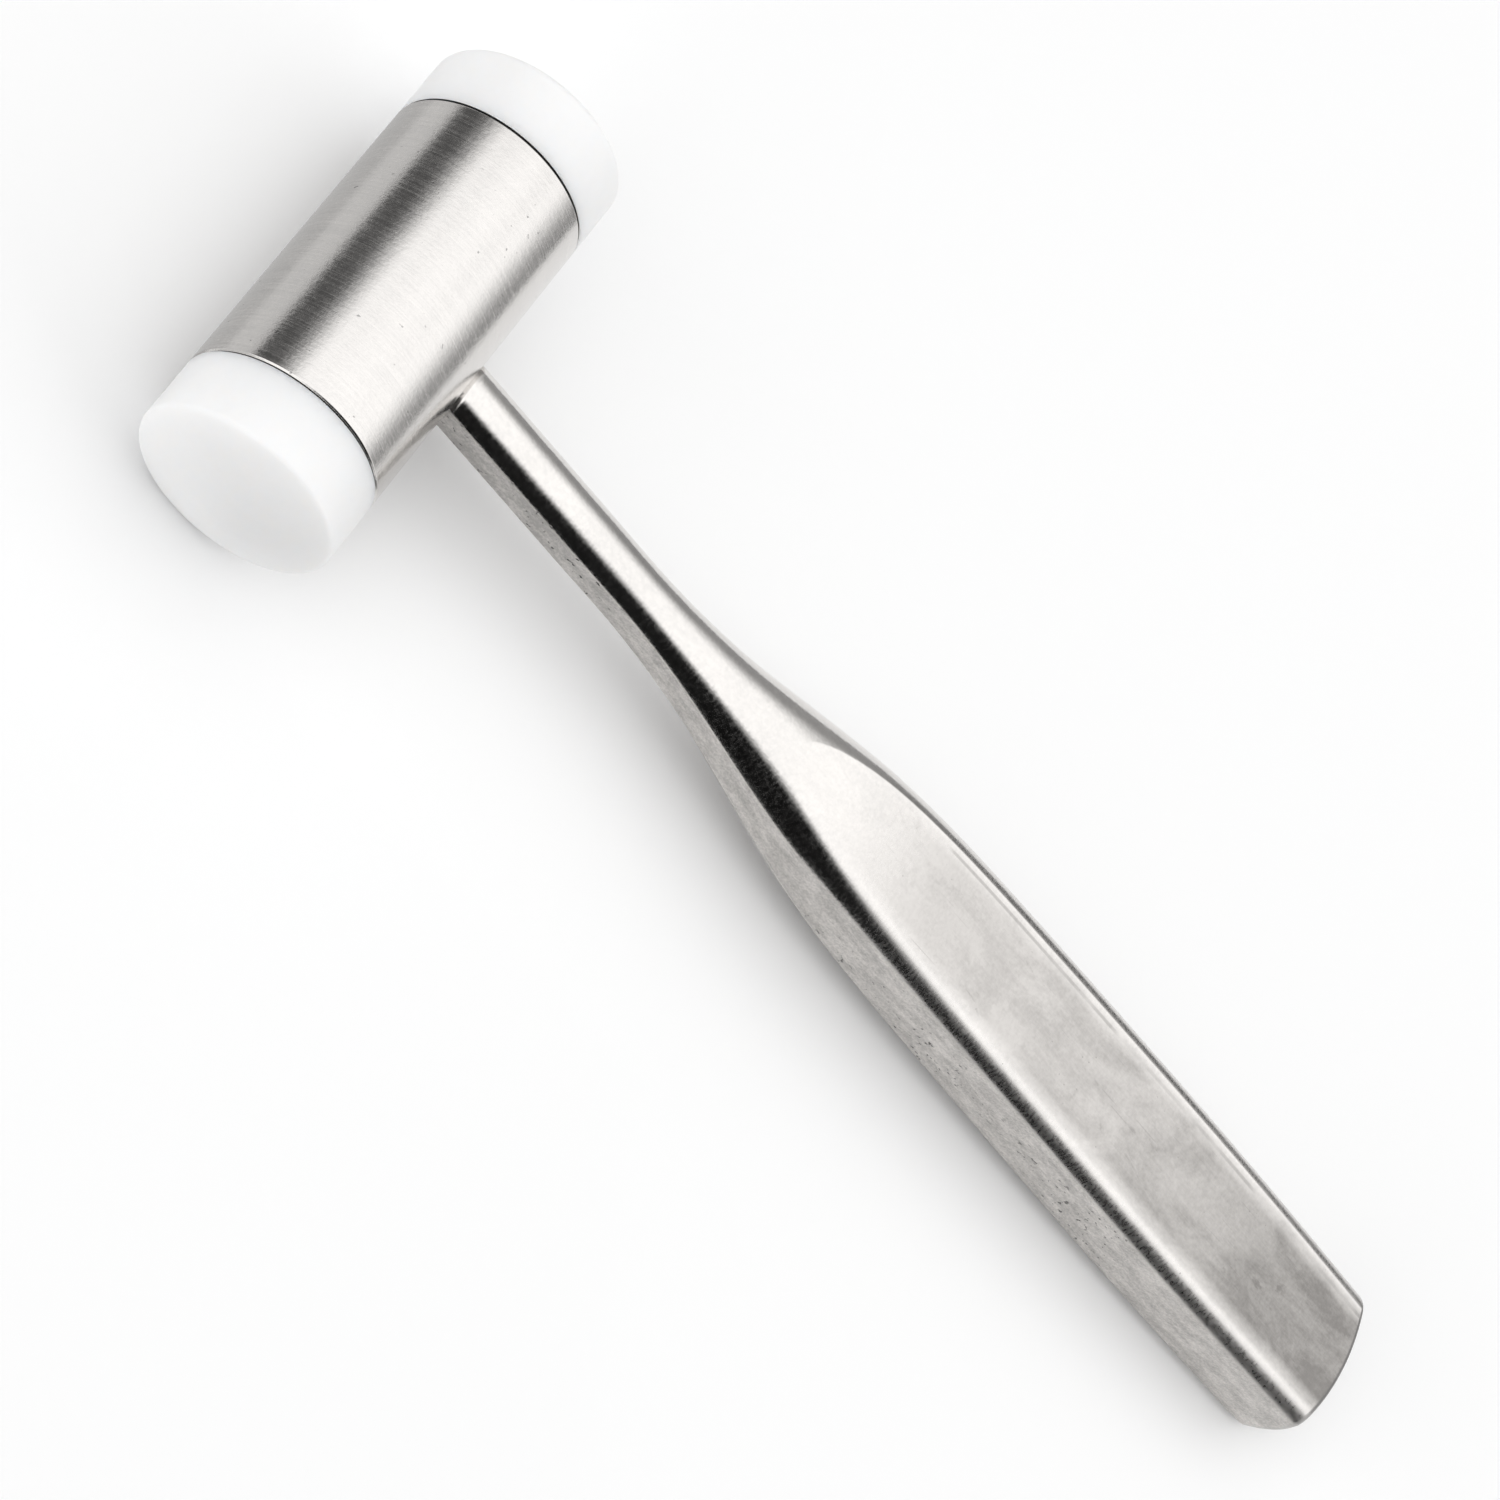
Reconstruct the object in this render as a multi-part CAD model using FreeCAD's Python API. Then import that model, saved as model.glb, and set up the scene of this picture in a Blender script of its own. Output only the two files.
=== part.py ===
"""Surgical bone mallet: a turned steel drum with a screw-in domed nylon cap at each end, on a forged
steel handle that swells from a round neck into a broad flat grip. Lengths are in millimetres.

Every piece is drawn in the tool's own frame: the head's axis is Y, the handle runs along +X from the
head's centre, and Z is across the grip's thickness. At the end the whole tool is laid down on the
surface z = 0, on the drum's side and the grip's butt, and centred along X.
"""

import FreeCAD, Part
from FreeCAD import Vector
from math import asin, atan2, ceil, cos, degrees, hypot, radians, sin, sqrt, tan
import os

# Head
HEAD_DIAMETER = 24.0
DRUM_LENGTH = 39.6
EDGE_BREAK = 0.2            # chamfer on each side of the seam between drum and cap

# Nylon caps
CAP_SIDE = 8.3              # straight side, from the seam to the start of the dome
CAP_DOME = 3.2              # height of the domed striking face
CAP_EDGE_RADIUS = 0.8
THREAD_DIAMETER = 10.0      # outside of the stud's thread
THREAD_CLEARANCE = 0.05     # radial, stud in its tapped hole
STUD_LENGTH = 9.5
STUD_TIP_CHAMFER = 1.0
STUD_RELIEF_WIDTH = 1.2     # undercut where the thread runs out at the shoulder
STUD_RELIEF_DEPTH = 0.8

# Tapped holes in the drum
HOLE_SPARE_DEPTH = 1.5      # beyond the stud's tip
HOLE_MOUTH_CHAMFER = 0.7
DRILL_POINT_ANGLE = 118.0

# Handle, along X from the head's centre
HANDLE_END = 175.5          # crest of the crowned butt
NECK_END = 43.0             # where the round neck starts to flare
NECK_DIAMETER = 7.88
NECK_WIDTH = 6.92           # across the neck's two ground sides
GRIP_WIDTH = 19.86          # across the ground sides, where the grip is fullest
GRIP_THICKNESS = 12.1       # between the two ground broad faces
GRIND_ALLOWANCE = 0.08      # at least, left on each broad face by the forging, and ground off flat
CROWN_SLOPE = 10.0          # degrees, where a rolled corner runs out into the forging's gentle crown
# Sections of the forging. Each row has its place, as a share of the way from NECK_END to HANDLE_END,
# its width and its thickness over the corners, as shares of the growth from neck to grip, and the
# height of its ground sides and the radius of its rolled corners, as shares of that thickness. The
# rows before NECK_END are the plain neck.
FORGED_SECTIONS = (
    (-0.0988, 0.000, 0.000, 0.482, 0.914),
    (-0.0494, 0.000, 0.000, 0.482, 0.914),
    (0.0000, 0.000, 0.000, 0.482, 0.914),
    (0.0524, 0.059, 0.073, 0.466, 0.951),
    (0.1235, 0.247, 0.475, 0.376, 0.984),
    (0.1591, 0.382, 0.767, 0.364, 0.979),
    (0.1966, 0.522, 0.963, 0.379, 0.926),
    (0.2322, 0.640, 1.032, 0.417, 0.806),
    (0.2687, 0.736, 1.041, 0.495, 0.691),
    (0.3092, 0.810, 1.037, 0.571, 0.628),
    (0.3626, 0.876, 1.023, 0.623, 0.583),
    (0.4525, 0.930, 1.009, 0.662, 0.548),
    (0.5888, 0.971, 1.000, 0.679, 0.515),
    (0.7844, 1.000, 1.000, 0.677, 0.498),
    (1.0080, 0.929, 1.000, 0.664, 0.481),
)
STATION_SPACING = 5.5       # at most, between the sections that the skin is carried over
BUTT_RADIUS = 25.5          # rounded end of the grip, seen on the broad face
BUTT_OFFSET = 1.5           # how far that round is off the grip's middle, towards -Y, as ground by hand
BUTT_CROWN = 12.0           # radius of the same end, seen from the side
BUTT_EDGE_RADIUS = 1.0

# Neck on the drum: the neck is coped to the drum's side and goes in with a brazed tenon
TENON_DIAMETER = 6.0
TENON_LENGTH = 12.5         # below the crest of the drum's side
TENON_TIP_CHAMFER = 0.8
TENON_CLEARANCE = 0.02      # radial, filled by the braze
TENON_END_CLEARANCE = 0.5
COPE_SLACK = 1.0            # forging left at the neck's root before it is coped

HEAD_RADIUS = HEAD_DIAMETER / 2
HALF_DRUM = DRUM_LENGTH / 2
STUD_RADIUS = THREAD_DIAMETER / 2 - THREAD_CLEARANCE
TENON_RADIUS = TENON_DIAMETER / 2
TENON_TIP = HEAD_RADIUS - TENON_LENGTH
# the coping reaches in furthest at the top and bottom of the neck
NECK_ROOT = sqrt(HEAD_RADIUS**2 - (NECK_DIAMETER / 2)**2) - COPE_SLACK
# middle of the butt's crown, and of the round along its edge, which is tangent to the crown
CROWN_X = HANDLE_END - BUTT_CROWN
BUTT_EDGE_Z = GRIP_THICKNESS / 2 - BUTT_EDGE_RADIUS
BUTT_EDGE_X = CROWN_X + sqrt((BUTT_CROWN - BUTT_EDGE_RADIUS)**2 - BUTT_EDGE_Z**2)

ORIGIN = Vector(0, 0, 0)
ALONG_X = Vector(1, 0, 0)
ALONG_Y = Vector(0, 1, 0)
ALONG_Z = Vector(0, 0, 1)


def turned(profile):
    """Solid turned about Y from (radius, y) points; a third value is the middle of an arc to it."""
    edges = []
    for start, finish in zip(profile, profile[1:]):
        a = Vector(start[0], start[1], 0)
        b = Vector(finish[0], finish[1], 0)
        if len(finish) == 3:
            middle = Vector(finish[2][0], finish[2][1], 0)
            edges.append(Part.Arc(a, middle, b).toShape())
        else:
            edges.append(Part.makeLine(a, b))
    first = Vector(profile[0][0], profile[0][1], 0)
    last = Vector(profile[-1][0], profile[-1][1], 0)
    edges.append(Part.makeLine(last, first))
    face = Part.Face(Part.Wire(edges))
    return face.revolve(ORIGIN, ALONG_Y, 360)


def mirrored(shape):
    """The same piece at the head's other end."""
    return shape.mirror(ORIGIN, ALONG_Y)


def head_cap():
    """Domed nylon cap at the +Y end, with its screw stud pointing into the drum."""
    crown = HALF_DRUM + CAP_SIDE + CAP_DOME
    dome_radius = (HEAD_RADIUS**2 + CAP_DOME**2) / (2 * CAP_DOME)
    dome_centre = crown - dome_radius
    # the edge round is tangent to the straight side and to the dome
    round_x = HEAD_RADIUS - CAP_EDGE_RADIUS
    reach = dome_radius - CAP_EDGE_RADIUS
    round_y = dome_centre + sqrt(reach**2 - round_x**2)
    lean = atan2(round_y - dome_centre, round_x)
    round_top = (round_x + CAP_EDGE_RADIUS * cos(lean), round_y + CAP_EDGE_RADIUS * sin(lean))
    round_middle = (
        round_x + CAP_EDGE_RADIUS * cos(lean / 2),
        round_y + CAP_EDGE_RADIUS * sin(lean / 2),
    )
    half_way = (radians(90) + lean) / 2
    dome_middle = (dome_radius * cos(half_way), dome_centre + dome_radius * sin(half_way))
    root_radius = STUD_RADIUS - STUD_RELIEF_DEPTH
    tip = HALF_DRUM - STUD_LENGTH
    return turned([
        (0, tip),
        (STUD_RADIUS - STUD_TIP_CHAMFER, tip),
        (STUD_RADIUS, tip + STUD_TIP_CHAMFER),
        (STUD_RADIUS, HALF_DRUM - STUD_RELIEF_WIDTH - STUD_RELIEF_DEPTH),
        (root_radius, HALF_DRUM - STUD_RELIEF_WIDTH),
        (root_radius, HALF_DRUM),
        (HEAD_RADIUS - EDGE_BREAK, HALF_DRUM),
        (HEAD_RADIUS, HALF_DRUM + EDGE_BREAK),
        (HEAD_RADIUS, round_y),
        (*round_top, round_middle),
        (0, crown, dome_middle),
    ])


def drum_blank():
    """Turned steel cylinder with its two end edges broken."""
    return turned([
        (0, -HALF_DRUM),
        (HEAD_RADIUS - EDGE_BREAK, -HALF_DRUM),
        (HEAD_RADIUS, -HALF_DRUM + EDGE_BREAK),
        (HEAD_RADIUS, HALF_DRUM - EDGE_BREAK),
        (HEAD_RADIUS - EDGE_BREAK, HALF_DRUM),
        (0, HALF_DRUM),
    ])


def tapped_hole():
    """Tool that drills the blind hole for a cap's stud, at the +Y end."""
    radius = THREAD_DIAMETER / 2
    floor = HALF_DRUM - STUD_LENGTH - HOLE_SPARE_DEPTH
    point = radius / tan(radians(DRILL_POINT_ANGLE / 2))
    return turned([
        (0, floor - point),
        (radius, floor),
        (radius, HALF_DRUM - HOLE_MOUTH_CHAMFER),
        (radius + HOLE_MOUTH_CHAMFER, HALF_DRUM),
        (0, HALF_DRUM),
    ])


def section_wire(x, half_width, side_half, half_height, radius):
    """Outline of the forging across X: ground sides, rolled corners and gently crowned faces."""
    slope = radians(CROWN_SLOPE)
    centre_z = half_height - radius
    angle = asin((side_half - centre_z) / radius)
    centre_y = half_width - radius * cos(angle)
    high_y = centre_y + radius * sin(slope)
    high_z = centre_z + radius * cos(slope)
    half_way = (angle + radians(90) - slope) / 2
    middle_y = centre_y + radius * cos(half_way)
    middle_z = centre_z + radius * sin(half_way)
    # the crown is an arc tangent to both corners, and its crest is this high
    crest = high_z + high_y * tan(slope / 2)

    def at(y, z):
        return Vector(x, y, z)

    def corner(sign_y, sign_z, rising):
        low = at(sign_y * half_width, sign_z * side_half)
        high = at(sign_y * high_y, sign_z * high_z)
        middle = at(sign_y * middle_y, sign_z * middle_z)
        ends = (low, high) if rising else (high, low)
        return Part.Arc(ends[0], middle, ends[1]).toShape()

    def crown(sign):
        start = at(sign * high_y, sign * high_z)
        finish = at(-sign * high_y, sign * high_z)
        return Part.Arc(start, at(0, sign * crest), finish).toShape()

    return Part.Wire([
        Part.makeLine(at(half_width, -side_half), at(half_width, side_half)),
        corner(1, 1, True),
        crown(1),
        corner(-1, 1, False),
        Part.makeLine(at(-half_width, side_half), at(-half_width, -side_half)),
        corner(-1, -1, True),
        crown(-1),
        corner(1, -1, False),
    ])


def sized_section(x, width, thickness, side, corner):
    """Place and sizes of one section in millimetres, from its row of shares."""
    grown = GRIP_THICKNESS + 2 * GRIND_ALLOWANCE
    half_width = (NECK_WIDTH + (GRIP_WIDTH - NECK_WIDTH) * width) / 2
    half_height = (NECK_DIAMETER + (grown - NECK_DIAMETER) * thickness) / 2
    return x, half_width, side * half_height, half_height, corner * half_height


def smooth_line(column):
    """Smooth curve of one column of FORGED_SECTIONS over the place."""
    places = [row[0] for row in FORGED_SECTIONS]
    line = Part.BSplineCurve()
    points = [Vector(row[0], row[column], 0) for row in FORGED_SECTIONS]
    line.interpolate(Points=points, Parameters=places)
    return line


def forging():
    """Handle as forged: one smooth skin over evenly spaced sections, from neck root past the butt."""
    columns = len(FORGED_SECTIONS[0])
    lines = [smooth_line(column) for column in range(1, columns)]
    first = FORGED_SECTIONS[0][0]
    last = FORGED_SECTIONS[-1][0]
    far = NECK_END + (HANDLE_END - NECK_END) * last
    count = ceil((far - NECK_ROOT) / STATION_SPACING)
    wires = []
    for i in range(count + 1):
        x = NECK_ROOT + (far - NECK_ROOT) * i / count
        place = max(first, (x - NECK_END) / (HANDLE_END - NECK_END))
        shares = [line.value(place).y for line in lines]
        wires.append(section_wire(*sized_section(x, *shares)))
    return Part.makeLoft(wires, True)


def butt_waste():
    """Block with a barrel taken out of it, which leaves the grip's rounded and crowned end."""
    middle = HANDLE_END - BUTT_RADIUS
    high = GRIP_THICKNESS / 2 + GRIND_ALLOWANCE
    waist = BUTT_RADIUS - BUTT_CROWN + sqrt(BUTT_CROWN**2 - high**2)
    rim_low = Vector(waist, 0, -high)
    rim_high = Vector(waist, 0, high)
    outline = Part.Wire([
        Part.makeLine(Vector(0, 0, -high), rim_low),
        Part.Arc(rim_low, Vector(BUTT_RADIUS, 0, 0), rim_high).toShape(),
        Part.makeLine(rim_high, Vector(0, 0, high)),
        Part.makeLine(Vector(0, 0, high), Vector(0, 0, -high)),
    ])
    barrel = Part.Face(outline).revolve(ORIGIN, ALONG_Z, 360)
    barrel.translate(Vector(middle, -BUTT_OFFSET, 0))
    block = Part.makeBox(2 * BUTT_RADIUS, 2 * GRIP_WIDTH, 2 * high)
    block.translate(Vector(middle, -GRIP_WIDTH, -high))
    return block.cut(barrel)


def round_bar(radius, low, high):
    """Plain cylinder along X between two places."""
    return Part.makeCylinder(radius, high - low, Vector(low, 0, 0), ALONG_X)


def chamfered_bar(radius, low, high, chamfer):
    """Cylinder along X with its lower end chamfered."""
    tip = Part.makeCone(radius - chamfer, radius, chamfer, Vector(low, 0, 0), ALONG_X)
    return round_bar(radius, low + chamfer, high).fuse(tip).removeSplitter()


def drilled_bar(radius, floor, high):
    """Blind drilled hole along X, with the drill's point below its floor."""
    point = radius / tan(radians(DRILL_POINT_ANGLE / 2))
    tip = Part.makeCone(0, radius, point, Vector(floor - point, 0, 0), ALONG_X)
    return round_bar(radius, floor, high).fuse(tip).removeSplitter()


def butt_edges(shape):
    """Edges round the end wall of the grip."""
    return max(shape.Faces, key=lambda face: face.CenterOfMass.x).Edges


def handle():
    """Forged handle: broad faces ground flat, butt rounded, neck coped and its tenon turned."""
    body = forging()
    slab = Part.makeBox(2 * HANDLE_END, 2 * GRIP_WIDTH, GRIP_THICKNESS)
    slab.translate(Vector(0, -GRIP_WIDTH, -GRIP_THICKNESS / 2))
    body = body.common(slab)
    body = body.cut(butt_waste())
    body = body.makeFillet(BUTT_EDGE_RADIUS, butt_edges(body))
    drum_side = Part.makeCylinder(HEAD_RADIUS, HEAD_DIAMETER, Vector(0, -HEAD_RADIUS, 0), ALONG_Y)
    body = body.cut(drum_side)
    tenon = chamfered_bar(TENON_RADIUS, TENON_TIP, HEAD_RADIUS + EDGE_BREAK, TENON_TIP_CHAMFER)
    return body.fuse(tenon).removeSplitter()


def head_drum():
    """Drum with a tapped hole in each end and a drilled hole in its side for the tenon."""
    hole = tapped_hole()
    drum = drum_blank().cut(hole).cut(mirrored(hole))
    floor = TENON_TIP - TENON_END_CLEARANCE
    return drum.cut(drilled_bar(TENON_RADIUS + TENON_CLEARANCE, floor, HEAD_DIAMETER))


def rest_angle():
    """Angle in degrees the tool tips by, about Y, when drum and butt touch the surface below."""
    drop = asin((HEAD_RADIUS - BUTT_EDGE_RADIUS) / hypot(BUTT_EDGE_X, BUTT_EDGE_Z))
    return degrees(drop - atan2(BUTT_EDGE_Z, BUTT_EDGE_X))


def laid_down(shape):
    """Shape turned, raised and centred from the tool's own frame to where it rests."""
    tip = radians(rest_angle())
    butt_reach = CROWN_X * cos(tip) + BUTT_CROWN
    placed = shape.copy()
    placed.rotate(ORIGIN, ALONG_Y, rest_angle())
    placed.translate(Vector((HEAD_RADIUS - butt_reach) / 2, 0, HEAD_RADIUS))
    return placed


cap = head_cap()
pieces = {
    "handle": handle(),
    "head_drum": head_drum(),
    "far_cap": cap,
    "near_cap": mirrored(cap),
}

os.makedirs("parts", exist_ok=True)
for name, piece in pieces.items():
    shape = laid_down(piece)
    shape.exportStep("parts/" + name + ".step")
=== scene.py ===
import math

import bpy
import numpy as np
from mathutils import Matrix


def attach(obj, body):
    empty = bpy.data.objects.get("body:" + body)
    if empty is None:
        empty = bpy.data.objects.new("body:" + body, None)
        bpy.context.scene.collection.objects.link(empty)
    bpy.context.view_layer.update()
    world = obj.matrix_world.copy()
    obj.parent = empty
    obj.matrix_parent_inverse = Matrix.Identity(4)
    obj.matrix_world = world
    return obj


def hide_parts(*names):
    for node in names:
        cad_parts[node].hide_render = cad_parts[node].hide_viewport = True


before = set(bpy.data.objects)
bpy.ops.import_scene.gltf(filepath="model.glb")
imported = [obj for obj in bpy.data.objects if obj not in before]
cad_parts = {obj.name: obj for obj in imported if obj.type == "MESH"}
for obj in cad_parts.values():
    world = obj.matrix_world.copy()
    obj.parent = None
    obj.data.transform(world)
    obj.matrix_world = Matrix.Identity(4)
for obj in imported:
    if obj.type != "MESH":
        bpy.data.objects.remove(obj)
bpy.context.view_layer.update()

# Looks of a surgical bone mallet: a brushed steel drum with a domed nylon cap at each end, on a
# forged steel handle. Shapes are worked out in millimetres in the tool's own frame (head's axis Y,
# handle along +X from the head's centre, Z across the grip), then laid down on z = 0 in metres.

# Sizes, the same as in the part
HEAD_RADIUS = 12.0
HALF_DRUM = 19.8
EDGE_BREAK = 0.2
CAP_SIDE = 8.3
CAP_DOME = 3.2
CAP_EDGE_RADIUS = 0.8
STUD_RADIUS = 4.95
STUD_LENGTH = 9.5
STUD_TIP_CHAMFER = 1.0
STUD_RELIEF_WIDTH = 1.2
STUD_RELIEF_DEPTH = 0.8
HOLE_RADIUS = 5.0
HOLE_DEPTH = 11.0
HOLE_MOUTH_CHAMFER = 0.7
HOLE_POINT_ANGLE = 118.0
THREAD_PITCH = 1.5
THREAD_DEPTH = 0.55
THREAD_RISE = 1.35          # steepness of its flanks: a sharp vee has 1
THREAD_ROOT = 0.15          # share of the vee that is cut off flat at the root
THREAD_RUNOUT = 1.0         # from a hole's floor to its thread
SEAM_GAP = 0.18             # between cap and drum, outside the ring that the cap seats on
SEAM_DEPTH = 0.9
SEAM_MOUTH = 0.12           # clean stretch of the seam at its mouth

HANDLE_END = 175.5
NECK_END = 43.0
NECK_DIAMETER = 7.88
NECK_WIDTH = 6.92
GRIP_WIDTH = 19.86
GRIP_THICKNESS = 12.1
GRIND_ALLOWANCE = 0.08
CROWN_SLOPE = 10.0
# place from neck's end to handle's end, width, thickness, side's height, corner's radius, as shares
FORGED_SECTIONS = np.array([
    (-0.0988, 0.000, 0.000, 0.482, 0.914),
    (-0.0494, 0.000, 0.000, 0.482, 0.914),
    (0.0000, 0.000, 0.000, 0.482, 0.914),
    (0.0524, 0.059, 0.073, 0.466, 0.951),
    (0.1235, 0.247, 0.475, 0.376, 0.984),
    (0.1591, 0.382, 0.767, 0.364, 0.979),
    (0.1966, 0.522, 0.963, 0.379, 0.926),
    (0.2322, 0.640, 1.032, 0.417, 0.806),
    (0.2687, 0.736, 1.041, 0.495, 0.691),
    (0.3092, 0.810, 1.037, 0.571, 0.628),
    (0.3626, 0.876, 1.023, 0.623, 0.583),
    (0.4525, 0.930, 1.009, 0.662, 0.548),
    (0.5888, 0.971, 1.000, 0.679, 0.515),
    (0.7844, 1.000, 1.000, 0.677, 0.498),
    (1.0080, 0.929, 1.000, 0.664, 0.481),
])
BUTT_RADIUS = 25.5
BUTT_OFFSET = 1.5
BUTT_CROWN = 12.0
BUTT_EDGE_RADIUS = 1.0
BUTT_SIDE_EXTRA = 0.8       # how much rounder the butt's edge is beside the ground sides

# where the tool rests: tipped about Y on the drum's side and the butt's lower edge
crown_x = HANDLE_END - BUTT_CROWN
butt_edge_z = GRIP_THICKNESS / 2 - BUTT_EDGE_RADIUS
butt_edge_x = crown_x + math.sqrt((BUTT_CROWN - BUTT_EDGE_RADIUS) ** 2 - butt_edge_z**2)
TIP = math.asin((HEAD_RADIUS - BUTT_EDGE_RADIUS) / math.hypot(butt_edge_x, butt_edge_z))
TIP -= math.atan2(butt_edge_z, butt_edge_x)
butt_reach = crown_x * math.cos(TIP) + BUTT_CROWN
HEAD_X = (HEAD_RADIUS - butt_reach) / 2


def laid_down(points):
    """Points of the tool's own frame where they rest: turned about Y by TIP, lifted by the head's
    radius and centred along X, then from millimetres to metres."""
    x, y, z = points[..., 0], points[..., 1], points[..., 2]
    return np.stack([
        x * math.cos(TIP) + z * math.sin(TIP) + HEAD_X,
        y,
        z * math.cos(TIP) - x * math.sin(TIP) + HEAD_RADIUS,
    ], axis=-1) / 1000


# Surfaces
def skinned(name, rows, first_pole, last_pole, finish, **masks):
    """Closed skin over rows of points: rows[i, j] runs along the piece by i and round it by j, the
    last point of a row joins the first, and a pole closes each end. A mask is one number a point."""
    count, around = rows.shape[:2]
    points = np.concatenate([rows.reshape(-1, 3), [first_pole, last_pole]])
    i = np.arange(count - 1)[:, None]
    j = np.arange(around)[None, :]
    after = (j + 1) % around
    quads = np.stack([
        i * around + j, i * around + after, (i + 1) * around + after, (i + 1) * around + j,
    ], axis=-1).reshape(-1, 4)
    j = j.ravel()
    after = after.ravel()
    start = np.stack([np.full(around, count * around), after, j], axis=-1)
    low = (count - 1) * around
    end = np.stack([np.full(around, count * around + 1), low + j, low + after], axis=-1)
    mesh = bpy.data.meshes.new(name)
    corners = np.concatenate([quads.ravel(), start.ravel(), end.ravel()])
    sizes = np.concatenate([np.full(len(quads), 4), np.full(2 * around, 3)])
    mesh.vertices.add(len(points))
    mesh.vertices.foreach_set("co", laid_down(points).ravel())
    mesh.loops.add(len(corners))
    mesh.loops.foreach_set("vertex_index", corners)
    mesh.polygons.add(len(sizes))
    mesh.polygons.foreach_set("loop_start", np.concatenate([[0], np.cumsum(sizes)[:-1]]))
    mesh.update(calc_edges=True)
    mesh.polygons.foreach_set("use_smooth", np.ones(len(sizes), bool))
    for label, values in masks.items():
        layer = mesh.attributes.new(label, "FLOAT", "POINT")
        layer.data.foreach_set("value", np.append(values.ravel(), [0.0, 0.0]).astype(np.float32))
    mesh.validate()
    piece = bpy.data.objects.new(name, mesh)
    bpy.context.scene.collection.objects.link(piece)
    mesh.materials.append(finish)
    return piece


def stepped(start, goal, length):
    """Point a length from the start towards the goal, or a third of the way where that is less."""
    line = goal - start
    whole = np.linalg.norm(line)
    return start + line / whole * min(length, whole / 3)


def crisp(profile, support=0.05):
    """Profile with one more point close before and one close after each corner, so that smooth
    shading turns sharply there and stays flat between."""
    profile = np.asarray(profile, float)
    made = [profile[0]]
    for before, here, after in zip(profile, profile[1:], profile[2:]):
        made += [stepped(here, before, support), here, stepped(here, after, support)]
    made.append(profile[-1])
    return np.array(made)


def rounded(centre, radius, start, stop, count):
    """Arc in the (radius, y) half plane: centre + radius * (cos, sin) of angles in degrees."""
    a = np.radians(np.linspace(start, stop, count))
    return np.stack([centre[0] + radius * np.cos(a), centre[1] + radius * np.sin(a)], axis=-1)


def turned(profile, around=192):
    """Rows of a turned piece: each (radius, y) of the profile goes round the head's axis, the point
    at angle a being (radius * sin a, y, radius * cos a)."""
    a = np.linspace(0, 2 * math.pi, around, endpoint=False)
    radius = profile[:, 0, None]
    y = np.broadcast_to(profile[:, 1, None], (len(profile), around))
    return np.stack([radius * np.sin(a), y, radius * np.cos(a)], axis=-1)


def threaded(rows, low, high, depth):
    """The same rows with a thread between two places on the axis: the radius changes by depth times
    a vee that is cut off flat at crest and root, whose phase grows once a pitch along Y and once a
    turn, and the thread fades in and out over one pitch."""
    x, y, z = rows[..., 0], rows[..., 1], rows[..., 2]
    turn = np.arctan2(x, z) / (2 * math.pi)
    phase = (y / THREAD_PITCH + turn) % 1.0
    vee = np.clip(THREAD_RISE * np.abs(2 * phase - 1) - THREAD_ROOT, 0, 1)
    fade = np.clip((y - low) / THREAD_PITCH, 0, 1) * np.clip((high - y) / THREAD_PITCH, 0, 1)
    radius = np.hypot(x, z)
    factor = (radius + depth * vee * fade) / np.maximum(radius, 1e-6)
    return np.stack([x * factor, y, z * factor], axis=-1)


def drum_rows(hole_steps=90):
    """Turned drum from the drill point of its -Y hole, out over the side, to that of its +Y hole."""
    floor = HALF_DRUM - HOLE_DEPTH
    mouth = HALF_DRUM - HOLE_MOUTH_CHAMFER
    along = np.linspace(floor, mouth, hole_steps)
    hole = np.stack([np.full(hole_steps, HOLE_RADIUS), along], axis=-1)
    outer = crisp([
        (HOLE_RADIUS + HOLE_MOUTH_CHAMFER, HALF_DRUM),
        (HEAD_RADIUS - EDGE_BREAK, HALF_DRUM),
        (HEAD_RADIUS, HALF_DRUM - EDGE_BREAK),
        (HEAD_RADIUS, 0),
    ])
    plus = np.concatenate([hole, outer])
    minus = plus[::-1][1:] * (1, -1)
    rows = turned(np.concatenate([plus, minus])[::-1])
    thread_start = floor + THREAD_RUNOUT
    rows = threaded(rows, thread_start, mouth, THREAD_DEPTH)
    mirror = threaded(rows * (1, -1, 1), thread_start, mouth, THREAD_DEPTH) * (1, -1, 1)
    return np.where(rows[..., 1:2] < 0, mirror, rows)


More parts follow.
